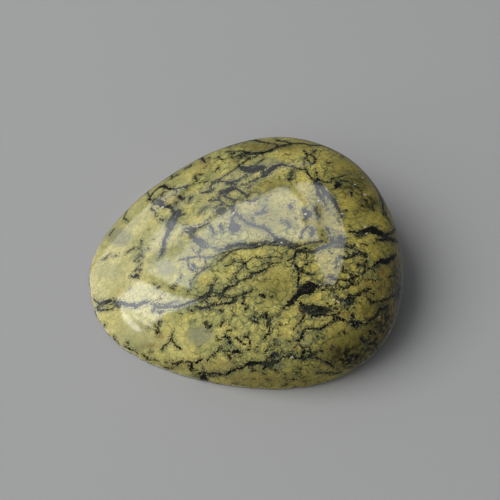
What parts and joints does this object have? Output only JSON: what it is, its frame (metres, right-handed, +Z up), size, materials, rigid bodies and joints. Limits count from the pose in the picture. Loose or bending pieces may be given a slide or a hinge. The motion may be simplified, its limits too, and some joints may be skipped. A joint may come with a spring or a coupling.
{
  "type": "serpentine rock",
  "caption": "Hand-polished pebble of green serpentine with dark veins, low at one end and blunt at the other, lying on a flat sawn underside.",
  "frame": {"origin": "middle of the stone's box in plan, on the plane of the sawn underside", "axes": "+X along the long axis, from the low end to the blunt end; +Z up, away from the sawn underside"},
  "size_m": [0.0608, 0.057, 0.0183],
  "materials": {
    "serpentine": "hand-polished yellow-green serpentine with blue-black veins and specks, olive and rusty tints and grey-green clearer spots; the sawn underside is matt"
  },
  "bodies": {
    "root": {"stone": "serpentine"}
  },
  "joints": []
}
